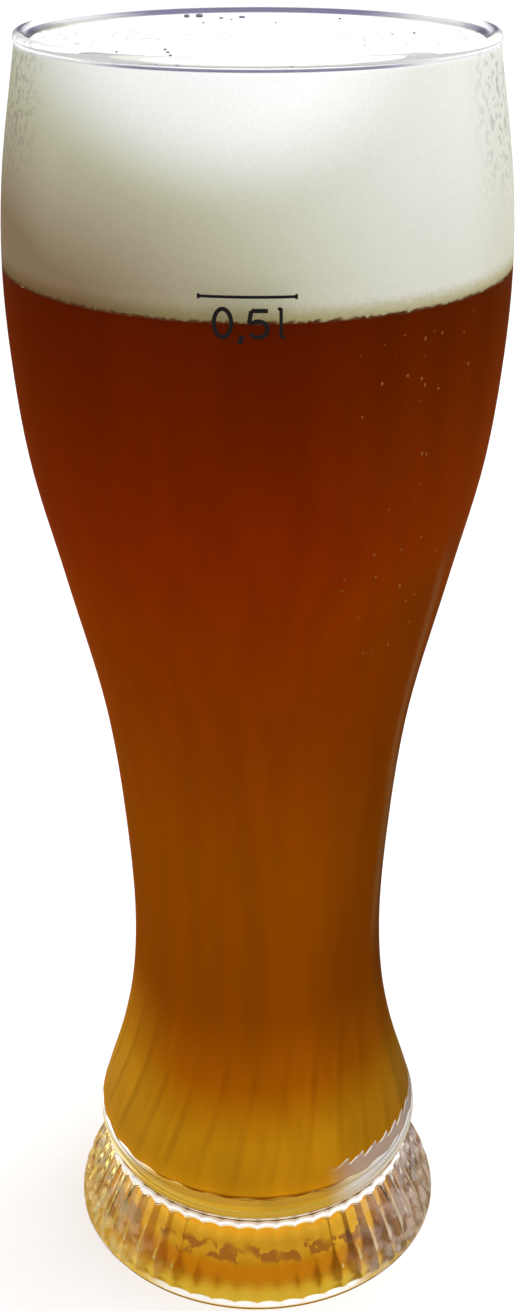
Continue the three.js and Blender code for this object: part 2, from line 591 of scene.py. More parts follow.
def turned_piece(name, rings, ends, material, relief=None):
    """A closed body turned about Z, with a point on the axis at both of its ends' heights.

    A ring is (radius, height), or with ridges (radius, height, ridge depth, turn, ridge form).
    """
    segments = 8 * bpy.context.scene.drink.glass.flutes
    angle = np.arange(segments) * 2 * math.pi / segments
    blocks = [np.array([[0, 0, ends[0]]])]
    for radius, height, *ridges in rings:
        reach, turned = np.full(segments, radius), angle
        if ridges:
            depth, turn, form = ridges
            reach, turned = reach + depth * form(angle), angle + turn
        heights = np.full(segments, height)
        blocks.append(np.column_stack([reach * np.cos(turned), reach * np.sin(turned), heights]))
    blocks.append(np.array([[0, 0, ends[1]]]))
    vertices = np.vstack(blocks)
    if relief is not None:
        vertices = relief(vertices)

    index = 1 + np.arange(len(rings) * segments).reshape(len(rings), segments)
    ahead = np.roll(index, -1, axis=1)
    quads = np.stack([index[:-1], ahead[:-1], ahead[1:], index[1:]], axis=-1).reshape(-1, 4)
    last = len(vertices) - 1
    faces = quads.tolist()
    faces += [(0, b, a) for a, b in zip(index[0].tolist(), ahead[0].tolist())]
    faces += [(a, b, last) for a, b in zip(index[-1].tolist(), ahead[-1].tolist())]
    return mesh_object(name, vertices, faces, material)


def steps(low, high, step):
    return np.linspace(low, high, max(2, int(abs(high - low) / step) + 1))


class NodeTree:
    """The nodes of a material or a world, added in a few words."""

    def __init__(self, owner, shader="Principled BSDF"):
        owner.use_nodes = True
        self.owner = owner
        self.nodes = owner.node_tree.nodes
        self.links = owner.node_tree.links
        self.shader = self.nodes[shader]

    def feed(self, socket, value):
        """Give a socket a link, a number or a colour."""
        if isinstance(value, bpy.types.NodeSocket):
            self.links.new(value, socket)
        elif isinstance(value, (int, float)):
            socket.default_value = value
        else:
            socket.default_value = (*value[:3], 1)

    def give(self, name, value):
        """Feed a socket of the main shader."""
        self.feed(self.shader.inputs[name], value)

    def add(self, kind, sockets=None, **settings):
        """Add a node with its settings, and feed its sockets, by name or by number."""
        node = self.nodes.new("ShaderNode" + kind)
        for key, value in settings.items():
            setattr(node, key, value)
        for key, value in (sockets or {}).items():
            self.feed(node.inputs[key], value)
        return node

    def math(self, operation, *values):
        return self.add("Math", dict(enumerate(values)), operation=operation).outputs[0]

    def spread(self, value, low, high, to_low=0.0, to_high=1.0, smooth_ends=True):
        """Carry a value from low and high over to to_low and to_high, and hold it beyond them."""
        sockets = {"From Min": low, "From Max": high, "To Min": to_low, "To Max": to_high}
        form = "SMOOTHSTEP" if smooth_ends else "LINEAR"
        node = self.add("MapRange", {"Value": value, **sockets}, interpolation_type=form)
        return node.outputs["Result"]

    def times(self, first, *others):
        for other in others:
            first = self.math("MULTIPLY", first, other)
        return first

    def plus(self, first, *others):
        for other in others:
            first = self.math("ADD", first, other)
        return first

    def largest(self, first, *others):
        for other in others:
            first = self.math("MAXIMUM", first, other)
        return first

    def minus(self, first, second):
        return self.math("SUBTRACT", first, second)

    def rest_of(self, share):
        return self.minus(1.0, share)

    def radius(self, x, y):
        return self.math("SQRT", self.plus(self.math("POWER", x, 2), self.math("POWER", y, 2)))

    def band(self, value, low, high, soft):
        """1 from low to high, falling to 0 within soft on both sides."""
        rise = self.spread(value, low - soft, low)
        return self.times(rise, self.spread(value, high + soft, high))

    def mix(self, share, first, second, blend="MIX"):
        sockets = {0: share, 6: first, 7: second}
        return self.add("Mix", sockets, data_type="RGBA", blend_type=blend).outputs[2]

    def layered(self, color, *layers):
        """Lay colours over a first one, each as (share, colour)."""
        for share, layer in layers:
            color = self.mix(share, color, layer)
        return color

    def scaled(self, color, factor):
        return self.mix(1.0, color, factor, "MULTIPLY")

    def ramp(self, value, stops):
        node = self.add("ValToRGB", {0: value})
        elements = node.color_ramp.elements
        while len(elements) < len(stops):
            elements.new(0.5)
        for element, (place, color) in zip(elements, stops):
            element.position = place
            element.color = (*color[:3], 1)
        return node.outputs[0]

    def place(self):
        """Where a point of the piece is, as a vector and as its three coordinates."""
        vector = self.add("TexCoord").outputs["Object"]
        return vector, self.add("SeparateXYZ", {0: vector}).outputs

    def noise(self, vector, scale, detail=2.0, roughness=0.5):
        sockets = {"Vector": vector, "Scale": scale, "Detail": detail, "Roughness": roughness}
        return self.add("TexNoise", sockets).outputs["Fac"]

    def blend(self, share, first, second):
        return self.add("MixShader", {0: share, 1: first, 2: second}).outputs[0]

    def bump(self, height, strength, distance):
        sockets = {"Strength": strength, "Distance": distance, "Height": height}
        self.give("Normal", self.add("Bump", sockets).outputs[0])


def rim_shade_line(tree, x, y, z):
    """Share of the painted dark line of shade and reflection round the rim: strongest in front,
    behind and at both corners.
    """
    front = tree.times(
        tree.band(z, *FRONT_RIM_LINE),
        tree.spread(y, -29 * MM, -35 * MM, 0.3, 0.9),
        tree.spread(y, 0.0, -6 * MM),
    )
    corners = tree.spread(tree.math("ABSOLUTE", x), 31 * MM, 37 * MM)
    back = tree.times(
        tree.band(z, *BACK_RIM_LINE),
        tree.largest(tree.spread(y, 22 * MM, 33 * MM, 0.35, 0.95), corners),
        tree.spread(y, -3 * MM, 5 * MM),
    )
    return tree.largest(front, back)


def foot_color(tree, glass, place, at_side, cells):
    """Painted amber of the beer's light in the foot: deep low down, pale at its edges, white near
    its top, spotted brown, with painted shade at the right and behind.
    """
    vector, x, y, z = place
    to_right = tree.spread(x, 8 * MM, 24 * MM)
    deep = tree.times(tree.band(z, *DEEP_ZONE), tree.rest_of(tree.times(to_right, 0.6)))
    spots = tree.times(
        tree.spread(cells, 0.47, 0.53),
        tree.band(z, *SPOT_ZONE),
        tree.spread(tree.noise(vector, 150.0, 1.0), 0.35, 0.5),
        0.9,
    )
    color = tree.layered(
        glass.foot_tint,
        (tree.largest(at_side, to_right), PALE_GOLD),
        (deep, glass.deep_tint),
        (tree.spread(z, 12.5 * MM, 15.5 * MM, 0.0, 0.9), WHITE),
        (tree.spread(z, 6.0 * MM, 2.5 * MM, 0.0, 0.8), PALE_BLUE),
        (spots, glass.spot_tint),
    )
    dim_right = tree.spread(x, 20 * MM, 30 * MM, 0.0, 0.2)
    behind = tree.spread(y, -20 * MM, -5 * MM)
    dim_back = tree.times(behind, tree.spread(x, -10 * MM, 20 * MM, 0.1, 0.3))
    return tree.scaled(color, tree.rest_of(tree.plus(dim_right, dim_back)))


def gleam_patch(tree, glass, place):
    """Low on the right of the bulb: a painted reflection, a beige patch and its bright upper edge,
    jagged like the ribs.
    """
    vector, x, y, z = place
    teeth = tree.math("FRACT", tree.times(tree.math("ARCTAN2", y, x), glass.ribs / math.pi))
    jagged = tree.minus(z, tree.times(teeth, 1.1 * MM))
    jagged = tree.plus(jagged, tree.times(tree.noise(vector, 500.0, 1.0), 0.8 * MM))
    on_right = tree.times(tree.spread(x, 13 * MM, 21 * MM), tree.spread(y, 16 * MM, -10 * MM))
    patch = tree.times(
        tree.spread(jagged, PATCH_TOP, PATCH_TOP - 0.4 * MM),
        tree.spread(z, GROOVE_HEIGHT + 1 * MM, GROOVE_HEIGHT + 3 * MM),
        on_right,
    )
    edge = tree.times(on_right, tree.band(jagged, PATCH_TOP - 0.2 * MM, PATCH_TOP, 0.2 * MM))
    return patch, edge


def glass_tint(tree, glass, place, at_side, foot, cells, patch):
    """Painted colour of the light that comes in from outside, which stands for what it meets
    inside: beer light, shade and dark lines.
    """
    _, x, y, z = place
    under_beer = tree.mix(tree.spread(at_side, 0.3, 1.0), glass.under_beer_light, PALE_TAN)
    ring = tree.times(tree.band(z, *RING_ZONE), tree.spread(at_side, 0.0, 1.0, 1.0, 0.4))
    return tree.layered(
        glass.tint,
        (foot, foot_color(tree, glass, place, at_side, cells)),
        (tree.band(z, *UNDER_BEER_ZONE), under_beer),
        (ring, glass.ring_shade),
        (tree.times(patch, 0.8), BEIGE),
        (tree.band(z, *GROOVE_LINE), GROOVE_SHADE),
        (tree.band(z, *EDGE_LINE), EDGE_SHADE),
        (rim_shade_line(tree, x, y, z), glass.rim_shade),
    )


def highlight_lines(tree, z, at_side, cells, patch, patch_edge):
    """Share of the painted white highlights at the groove and the foot's edge, and along the beige
    patch.
    """
    return tree.largest(
        tree.plus(*(tree.band(z, *gleam) for gleam in GROOVE_GLEAMS)),
        tree.spread(z, 0.75 * MM, 0.6 * MM),
        tree.times(patch_edge, tree.spread(cells, 0.35, 0.6, 0.2, 0.7)),
        tree.times(patch, 0.2),
        tree.times(tree.band(z, *EDGE_GLEAM), tree.spread(at_side, 0.0, 0.5, 1.0, 0.1)),
    )


def reflected_color(tree, glass, x, y, z, gold):
    """Painted colour of the wall's reflection: gold in the foot, amber by the beer, dark at the
    contour.
    """
    foot_gleam = tree.mix(tree.spread(x, 12 * MM, 24 * MM), FOOT_GOLD, FOOT_MAUVE)
    around = tree.math("DIVIDE", tree.math("ABSOLUTE", x), tree.radius(x, y))
    contour = tree.spread(around, 0.965, 0.996, 0.0, 0.75)
    return tree.layered(
        WHITE,
        (gold, foot_gleam),
        (tree.band(z, *BESIDE_BEER_ZONE), BEER_GLEAM),
        (tree.times(contour, tree.spread(z, 34 * MM, 40 * MM)), glass.rim_shade),
    )


def glass_material(glass):
    """Clear pressed glass that bends and mirrors light, and lets lamps through to the drink; its
    tint and mirror carry painted light, shade and reflections.
    """
    tree = NodeTree(bpy.data.materials.new("clear_glass"))
    vector, (x, y, z) = tree.place()
    place = (vector, x, y, z)
    inside = tree.add("NewGeometry").outputs["Backfacing"]
    foot = tree.spread(z, GROOVE_HEIGHT - 0.6 * MM, GROOVE_HEIGHT - 2.4 * MM)
    in_rim = tree.spread(z, HEIGHT - 2.6 * MM, HEIGHT - 1.6 * MM)
    at_side = tree.spread(tree.math("ABSOLUTE", x), 15 * MM, 33 * MM)
    cells = tree.noise(vector, 330.0, 2.0)
    patch, patch_edge = gleam_patch(tree, glass, place)

    tint = glass_tint(tree, glass, place, at_side, foot, cells, patch)
    tint = tree.mix(inside, tint, glass.tint)
    bend = tree.add("BsdfRefraction", {"Color": tint, "Roughness": 0.0, "IOR": GLASS_IOR})
    lines = highlight_lines(tree, z, at_side, cells, patch, patch_edge)
    gleam = reflected_color(tree, glass, x, y, z, tree.times(foot, tree.rest_of(lines)))
    mirror = tree.add("BsdfGlossy", {"Color": gleam, "Roughness": 0.01})

    # The mirror's share follows the angle of view, and inside the glass all of it counts
    facing = tree.add("Fresnel", {"IOR": GLASS_IOR}).outputs[0]
    in_foot = tree.spread(z, GROOVE_HEIGHT + 1.5 * MM, GROOVE_HEIGHT, 0.0, 0.2)
    thick = tree.largest(in_foot, in_rim, glass.wall_mirror, inside)
    # Painted glints: sparkles at the foot's sides and the white highlight lines raise the mirror's
    # share
    side_sparkle = tree.times(at_side, foot, tree.spread(cells, 0.4, 0.6, 0.08, 0.34))
    glint = tree.times(tree.largest(tree.times(lines, 0.85), side_sparkle), tree.rest_of(inside))
    share = tree.plus(tree.times(facing, thick), glint)
    surface = tree.blend(share, bend.outputs[0], mirror.outputs[0])

    # Light caught in the bead gets out, and lamps and diffuse light pass straight through the wall
    clear = tree.add("BsdfTransparent").outputs[0]
    surface = tree.blend(tree.times(inside, in_rim, 0.5), surface, clear)
    rays = tree.add("LightPath")
    for kind in ("Is Diffuse Ray", "Is Shadow Ray"):
        surface = tree.blend(rays.outputs[kind], surface, clear)
    tree.feed(tree.nodes["Material Output"].inputs["Surface"], surface)
    tree.nodes.remove(tree.shader)
    return tree.owner


def rib_shade(tree, place, glass):
    """Light and dark streaks that the ribs throw into the beer, as a factor about 1."""
    vector, x, y, z = place
    turn = tree.spread(z, INSIDE_BOTTOM, RIB_TOP, -glass.rib_twist, 0.0, smooth_ends=False)
    around = tree.minus(tree.math("ARCTAN2", y, x), turn)
    phase = tree.times(around, glass.ribs)
    dark = tree.spread(tree.math("COSINE", phase), 0.45, 1.0)
    light = tree.spread(tree.math("COSINE", tree.plus(phase, 0.9)), 0.3, 1.0)
    relief = tree.minus(tree.times(light, 0.10), tree.times(dark, 0.20))
    uneven = tree.spread(tree.noise(vector, 70.0, 1.0), 0.35, 0.6, 0.3, 1.0)
    fade = tree.times(tree.spread(z, 22 * MM, 30 * MM), tree.spread(z, 64 * MM, 40 * MM), uneven)
    return tree.plus(tree.times(relief, fade), 1.0)


def beer_material(beer, glass):
    """Hazy beer, lit from within: red-brown at the top, brown at the waist, golden low down."""
    tree = NodeTree(bpy.data.materials.new("hazy_beer"))
    vector, (x, y, z) = tree.place()
    level = tree.spread(z, BULB_HEIGHT, BEER_LINE, smooth_ends=False)
    depth = BEER_LINE - BULB_HEIGHT
    stops = [((h - BULB_HEIGHT) / depth, getattr(beer, name)) for name, h in BEER_STOPS]
    color = tree.ramp(level, stops)
    # Painted light: yellower where light comes through, at the left and a little at the right low
    # down, and high on the right
    thin_left = tree.spread(x, -12 * MM, -32 * MM)
    thin = tree.plus(thin_left, tree.spread(x, 18 * MM, 36 * MM, 0.0, 0.25))
    color = tree.mix(tree.times(thin, tree.spread(z, 66 * MM, 38 * MM)), color, beer.thin_color)
    warm = tree.times(tree.spread(x, 4 * MM, 26 * MM), tree.spread(z, 120 * MM, 155 * MM))
    color = tree.mix(warm, color, tree.scaled(color, (1.0, 1.35, 1.0)))

    # Painted shade along the right side of the beer
    around = tree.math("DIVIDE", x, tree.radius(x, y))
    to_right = tree.times(
        tree.plus(tree.spread(around, 0.35, 0.95), tree.spread(around, 0.93, 0.99, 0.0, 0.5)),
        tree.spread(z, 178 * MM, 120 * MM, 0.0, beer.right_shade),
    )
    color = tree.scaled(color, tree.rest_of(to_right))
    # Painted reflection: a pale streak near the right edge
    streak_place = tree.spread(z, 155 * MM, 100 * MM, 0.895, 0.965, smooth_ends=False)
    streak = tree.times(
        tree.band(tree.minus(around, streak_place), -0.008, 0.008, 0.022),
        tree.band(z, *REFLECTION_STREAK_ZONE),
        tree.spread(y, 2 * MM, -4 * MM),
        0.6,
    )
    color = tree.mix(streak, color, beer.reflection_streak_color)

    color = tree.scaled(color, tree.spread(tree.noise(vector, 22.0, 2.0), 0.3, 0.7, 0.95, 1.05))
    upright = tree.add("VectorMath", {0: vector}, operation="MULTIPLY")
    upright.inputs[1].default_value = (1.0, 1.0, 0.05)
    trails = tree.noise(upright.outputs[0], 260.0, 2.0)
    color = tree.scaled(color, tree.spread(trails, 0.35, 0.65, 0.94, 1.06))
    color = tree.scaled(color, rib_shade(tree, (vector, x, y, z), glass))

    lit = (1 - beer.glow) / STUDIO_LIGHT
    tree.give("Base Color", tree.scaled(color, (lit, lit, lit)))
    underneath = tree.spread(z, INSIDE_BOTTOM + 1.6 * MM, INSIDE_BOTTOM + 1.0 * MM)
    tree.give("Emission Color", tree.mix(underneath, color, beer.under_color))
    low_glow = tree.spread(z, 27 * MM, 20 * MM, beer.glow, beer.glow + 0.35)
    tree.give("Emission Strength", tree.largest(low_glow, underneath))
    tree.give("Roughness", 0.6)
    tree.give("Specular IOR Level", 0.0)
    return tree.owner


def foam_material(foam):
    """Fine froth with painted light and shade: white at the top, duller behind the wall, darker on
    the left, and browner down towards the beer, where it is wet and in painted shade.
    """
    tree = NodeTree(bpy.data.materials.new("fine_foam"))
    vector, (x, y, z) = tree.place()
    # Painted light and shade: lighter to the right and higher up, with a painted pool of light
    # near the top and painted shade towards the sides
    rise = tree.spread(z, BEER_LINE + 4 * MM, HEIGHT - 3 * MM, smooth_ends=False)
    low = tree.spread(x, -34 * MM, 24 * MM, 0.125, 0.535)
    gain = tree.spread(x, -34 * MM, 24 * MM, 0.435, 0.115)
    white = tree.plus(low, tree.times(gain, rise))
    across = tree.math("DIVIDE", tree.minus(x, LIT_SPOT_PLACE), LIT_SPOT_REACH[0])
    down = tree.math("DIVIDE", tree.minus(HEIGHT, z), LIT_SPOT_REACH[1])
    white = tree.plus(white, tree.spread(tree.radius(across, down), 1.25, 0.45, 0.0, 0.25))
    around = tree.math("DIVIDE", tree.math("ABSOLUTE", x), tree.radius(x, y))
    white = tree.minus(white, tree.times(tree.spread(around, 0.75, 1.0), 0.08))
    stops = ((0.14, foam.wet_shade_color), (0.40, foam.damp_shade_color), (0.62, foam.dull_shade_color))
    color = tree.ramp(white, (*stops, (0.86, foam.color)))
    color = tree.mix(tree.spread(x, 0.0, 30 * MM, 0.0, 0.3), color, white)
    color = tree.mix(tree.spread(z, HEIGHT - 2.6 * MM, HEIGHT - 2.2 * MM), color, foam.color)
    grain = tree.noise(vector, 1 / foam.grain, 3.0, 0.6)
    color = tree.scaled(color, tree.spread(grain, 0.3, 0.7, 0.97, 1.03))
    # Painted shade in the open pits at the foam's sides
    pits = tree.times(
        tree.spread(tree.noise(vector, 800.0, 1.0), 0.50, 0.62),
        tree.spread(around, 0.80, 0.96),
        tree.spread(z, 208 * MM, 226 * MM),
        0.4,
    )
    color = tree.mix(pits, color, foam.pit_shade_color)
    ragged = tree.plus(z, tree.times(tree.noise(vector, 1300.0, 2.0), 1.3 * MM))
    soaked = tree.spread(ragged, BEER_LINE + 4.2 * MM, BEER_LINE + 1.1 * MM)
    color = tree.mix(soaked, color, tree.scaled(color, foam.soaked_tint))
    hem = tree.spread(ragged, BEER_LINE + 1.25 * MM, BEER_LINE + 0.8 * MM)
    color = tree.mix(hem, color, foam.hem_color)
    tree.give("Base Color", color)
    tree.give("Roughness", 0.85)
    tree.give("Specular IOR Level", 0.1)
    tree.bump(grain, 0.25, foam.grain)
    return tree.owner


def enamel_material(mark):
    """Fired enamel of the printed mark, slightly uneven in gloss."""
    tree = NodeTree(bpy.data.materials.new("dark_enamel"))
    vector, _ = tree.place()
    speckle = tree.noise(vector, 3000.0, 2.0)
    paler = tuple(2.2 * c for c in mark.color)
    tree.give("Base Color", tree.mix(speckle, mark.color, paler))
    tree.give("Roughness", tree.spread(speckle, 0.2, 0.8, 0.5, 0.7))
    tree.give("Specular IOR Level", 0.08)
    return tree.owner


def speck_material(name, color):
    """Small wet specks, a little uneven in tone."""
    tree = NodeTree(bpy.data.materials.new(name))
    vector, _ = tree.place()
    paler = tuple(1.5 * c for c in color)
    tree.give("Base Color", tree.mix(tree.noise(vector, 2500.0, 1.0), color, paler))
    tree.give("Roughness", 0.6)
    tree.give("Specular IOR Level", 0.2)
    return tree.owner


def underside_rings():
    """The slightly hollow underside and the faintly domed ring that the glass stands on."""
    ring_outer = FOOT_RADIUS - FOOT_ROUNDING
    ring_inner = ring_outer - STANDING_RING
    hollow = [(s * ring_inner, HOLLOW_DEPTH * (1 - s * s)) for s in np.linspace(0.1, 0.98, 12)]
    middle = (ring_inner + ring_outer) / 2
    ring = [(ring_inner, 0.12 * MM), (middle - 0.6 * MM, 0.01 * MM), (middle, 0.0)]
    ring += [(middle + 0.6 * MM, 0.01 * MM), (ring_outer - 0.4 * MM, 0.1 * MM)]
    edge = arc((ring_outer, FOOT_ROUNDING + 0.12 * MM), (FOOT_ROUNDING, FOOT_ROUNDING), -90, 0, 7)
    return hollow + ring + edge


def foot_rings(glass):
    """The foot's side: a plain edge, then flutes that lean in and end in a scalloped bead."""

    def flutes(angle):
        return sharp_ridges(angle, glass.flutes)

    rings = [(FOOT_RADIUS, FOOT_EDGE_HEIGHT * s) for s in (0.75, 0.9)]
    top = GROOVE_HEIGHT - 1.5 * MM
    for height in steps(FOOT_EDGE_HEIGHT, top, 0.6 * MM):
        share = (height - FOOT_EDGE_HEIGHT) / (top - FOOT_EDGE_HEIGHT)
        radius = FOOT_RADIUS + (SCALLOP_RADIUS - FOOT_RADIUS) * share**1.12
        depth = glass.flute_depth * min(1, share * 9)
        rings.append((radius - 0.2 * depth, height, depth, 0, flutes))
    centre = (SCALLOP_RADIUS - 0.25 * MM, GROOVE_HEIGHT - 0.75 * MM)
    for radius, height in arc(centre, (SCALLOP_BEAD, SCALLOP_BEAD), -20, 115, 9):
        rings.append((radius, height, 0.8 * glass.flute_depth, 0, flutes))
    return rings


def body_rings():
    low = steps(GROOVE_HEIGHT, 36 * MM, 0.8 * MM)
    high = steps(38 * MM, HEIGHT - 2 * BEAD_RADIUS, 3.5 * MM)
    return [(outer_radius(h), h) for h in (*low, *high)]


def bead_rings():
    middle = outer_radius(HEIGHT) + BEAD_OVERHANG - BEAD_RADIUS
    return arc((middle, HEIGHT - BEAD_RADIUS), (BEAD_RADIUS, BEAD_RADIUS), -50, 190, 18)


def inside_rings(glass, low, high, reach=0.0):
    """The inside of the glass with its ribs, upwards from low to high, moved out by reach."""
    bowl = INSIDE_BOTTOM + BOWL_HEIGHT * np.linspace(0.06, 1, 14) ** 2
    sides = np.concatenate([steps(33 * MM, 66 * MM, 1.5 * MM), steps(69.5 * MM, high, 3.5 * MM)])
    heights = [h for h in (*bowl, *sides) if low < h <= high]

    def ribs(angle):
        return soft_ridges(angle, glass.ribs)

    return [
        (inner_radius(h, glass) + reach, h, rib_depth(h, glass), rib_turn(h, glass), ribs)
        for h in heights
    ]


class BEER_OT_glass(bpy.types.Operator):
    """Build the clear glass with its fluted foot, ribbed bulb and rounded rim"""

    bl_idname = "beer.glass"
    bl_label = "Glass"

    def execute(self, context):
        glass = context.scene.drink.glass
        inside = inside_rings(glass, INSIDE_BOTTOM, HEIGHT - 1.3 * MM)[::-1]
        rings = underside_rings() + foot_rings(glass) + body_rings() + bead_rings() + inside
        ends = (HOLLOW_DEPTH, INSIDE_BOTTOM)
        piece = turned_piece("glass_shell", rings, ends, glass_material(glass))
        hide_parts("glass")
        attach(piece, "root")
        return {"FINISHED"}


class BEER_OT_beer(bpy.types.Operator):
    """Fill the glass with hazy beer that reaches just into the wall"""

    bl_idname = "beer.beer"
    bl_label = "Beer"

    def execute(self, context):
        drink = context.scene.drink
        rings = inside_rings(drink.glass, INSIDE_BOTTOM, BEER_LINE, BEER_OVERLAP)
        rings.append((inner_radius(BEER_LINE, drink.glass) + BEER_OVERLAP, BEER_LINE))
        ends = (INSIDE_BOTTOM - BEER_OVERLAP, BEER_LINE)
        piece = turned_piece("beer_body", rings, ends, beer_material(drink.beer, drink.glass))
        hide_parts("beer")
        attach(piece, "root")
        return {"FINISHED"}


class BEER_OT_foam(bpy.types.Operator):
    """Put the head of foam on the beer, with a ragged lower edge and a slightly uneven top"""

    bl_idname = "beer.foam"
    bl_label = "Foam"

    def execute(self, context):
        drink = context.scene.drink
        edge_height = FOAM_TOP - 0.55 * MM
        rings = [
            (inner_radius(h, drink.glass) + FOAM_OVERLAP, h)
            for h in steps(BEER_LINE, edge_height, 1.2 * MM)
        ]
        edge = inner_radius(edge_height, drink.glass) + FOAM_OVERLAP
        for share in np.linspace(0.985, 0.04, 40):
            crown = 0.35 * MM * (1 - share**2) - 0.1 * MM
            rings.append((edge * share, edge_height + crown))

        def relief(vertices):
            for point in vertices:
                spot = Vector(point) / MM
                if point[2] > edge_height - 0.3 * MM:
                    waves = ((0.25 * MM, 0.16), (0.08 * MM, 0.9))
                elif point[2] < BEER_LINE + 0.1 * MM:
                    waves = ((0.15 * MM, 0.4), (0.2 * MM, 2.3))
                else:
                    waves = ()
                point[2] += sum(height * noise.noise(spot * rate) for height, rate in waves)
            return vertices

        ends = (BEER_LINE, edge_height + 0.25 * MM)
        piece = turned_piece("foam_head", rings, ends, foam_material(drink.foam), relief)
        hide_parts("foam")
        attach(piece, "root")
        return {"FINISHED"}


def ribbon(points, width, closed=False):
    """Two edges of a stroke of even width along flat points."""
    line = np.array(points)
    if closed:
        forward = np.roll(line, -1, axis=0) - np.roll(line, 1, axis=0)
    else:
        forward = np.gradient(line, axis=0)
    forward /= np.linalg.norm(forward, axis=1, keepdims=True)
    across = np.column_stack([-forward[:, 1], forward[:, 0]]) * width / 2
    return line + across, line - across


def on_the_wall(flat, lift):
    """Wrap flat points, as (sideways, height), round the front of the glass."""
    heights = flat[:, 1]
    radius = outer_radius(heights)
    angle = FRONT + flat[:, 0] / radius
    return np.column_stack(
        [(radius + lift) * np.cos(angle), (radius + lift) * np.sin(angle), heights]
    )


def measure_strokes(size, stroke):
    """Strokes of the measure 0,5 l, as (points, width, closed), from its lower left corner."""

    def points(*shares):
        return [(x * size, y * size) for x, y in shares]

    def bow(x, y, wide, high, start, end, count, inset):
        radii = (wide * size - inset, high * size - inset)
        return arc((x * size, y * size), radii, start, end, count)

    half = stroke / 2
    zero = bow(0.333, 0.5, 0.333, 0.5, 0, 351, 40, half)
    comma = points((0.93, 0.13), (0.90, 0.0), (0.84, -0.14))
    top = 0.95 - half / size
    roof = points((1.72, top), (1.21, top))
    belly = points((1.21, top), (1.145, 0.50))
    belly += bow(1.43, 0.315, 0.345, 0.315, 125, -150, 26, half)
    flag = points((2.03, 0.91), (2.12, 0.97))
    foot = arc((2.22 * size, 0.15 * size), (0.10 * size, 0.12 * size - half / 2), 190, 285, 8)
    stem = points((2.12, 0.97), (2.12, 0.16)) + foot
    return [
        (zero, stroke, True),
        (comma, 1.2 * stroke, False),
        (roof, stroke, False),
        (belly, stroke, False),
        (flag, 0.8 * stroke, False),
        (stem, 0.8 * stroke, False),
    ]


class BEER_OT_mark(bpy.types.Operator):
    """Print the fill line and the measure under it on the front of the glass"""

    bl_idname = "beer.mark"
    bl_label = "Fill Mark"

    def execute(self, context):
        mark = context.scene.drink.mark
        half = mark.line_length / 2
        line = [([(-half, 0), (0, 0), (half, 0)], MARK_LINE_WIDTH, False)]
        for side in (-half, half):
            tick = [(side, -MARK_TICK_REACH), (side, 0), (side, MARK_TICK_REACH)]
            line.append((tick, MARK_TICK_WIDTH, False))
        measure = measure_strokes(mark.letter_height, mark.stroke)

        vertices, faces = [], []
        strokes = [(MARK_LINE_PLACE, stroke) for stroke in line]
        strokes += [(MEASURE_CORNER, stroke) for stroke in measure]
        for corner, (points, width, closed) in strokes:
            points = np.array(points) + corner
            dense = points
            if not closed:
                index = np.arange(len(points))
                along = np.linspace(0, len(points) - 1, 4 * len(points))
                dense = np.column_stack([np.interp(along, index, points[:, i]) for i in (0, 1)])
            left, right = ribbon(dense, width, closed)
            start = sum(len(v) for v in vertices)
            count = len(dense)
            vertices.append(on_the_wall(np.vstack([left, right]), ENAMEL_LIFT))
            for i in range(count if closed else count - 1):
                j = (i + 1) % count
                faces.append((start + i, start + count + i, start + count + j, start + j))
        piece = mesh_object("fill_mark", np.vstack(vertices), faces, enamel_material(mark))
        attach(piece, "root")
        return {"FINISHED"}


def small_balls(name, balls, material):
    """Small flattened balls in one mesh, each as (centre, radius, height over radius)."""
    shape = bmesh.new()
    for centre, radius, flatness in balls:
        form = Matrix.Translation(centre) @ Matrix.Diagonal((1, 1, flatness, 1))
        bmesh.ops.create_icosphere(shape, subdivisions=2, radius=radius, matrix=form)
    mesh = bpy.data.meshes.new(name)
    shape.to_mesh(mesh)
    shape.free()
    return mesh_piece(mesh, material)


class BEER_OT_specks(bpy.types.Operator):
    """Scatter yeast flecks on the inside of the wall and open bubbles on the foam"""

    bl_idname = "beer.specks"
    bl_label = "Specks"

    def execute(self, context):
        drink = context.scene.drink
        chance = random.Random(5)
        flecks = []
        for _ in range(drink.specks.flecks):
            height = chance.uniform(*FLECK_HEIGHTS)
            turn = math.radians(chance.gauss(FLECK_DIRECTION, FLECK_SPREAD))
            size = chance.uniform(0.12, 0.26) * MM
            reach = inner_radius(height, drink.glass) + BEER_OVERLAP + 0.5 * size
            place = (reach * math.sin(turn), -reach * math.cos(turn), height)
            flecks.append((place, size, chance.uniform(0.8, 1.6)))
        yeast = speck_material("yeast", drink.specks.fleck_color)
        piece = small_balls("yeast_flecks", flecks, yeast)
        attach(piece, "root")

        # Grey flattened balls of painted shade stand for the hollows of the open bubbles on the
        # foam
        bubbles = [((x, y, FOAM_TOP - 0.4 * MM), r, 0.5) for x, y, r in LARGE_BUBBLES]
        for _ in range(SMALL_BUBBLES):
            turn = chance.uniform(0, 2 * math.pi)
            reach = chance.uniform(20, 33) * MM
            place = (reach * math.cos(turn), reach * math.sin(turn), FOAM_TOP - 0.35 * MM)
            bubbles.append((place, chance.uniform(0.2, 0.35) * MM, 0.5))
        grey = speck_material("open_bubble", drink.specks.bubble_shade_color)
        piece = small_balls("open_bubbles", bubbles, grey)
        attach(piece, "root")
        return {"FINISHED"}


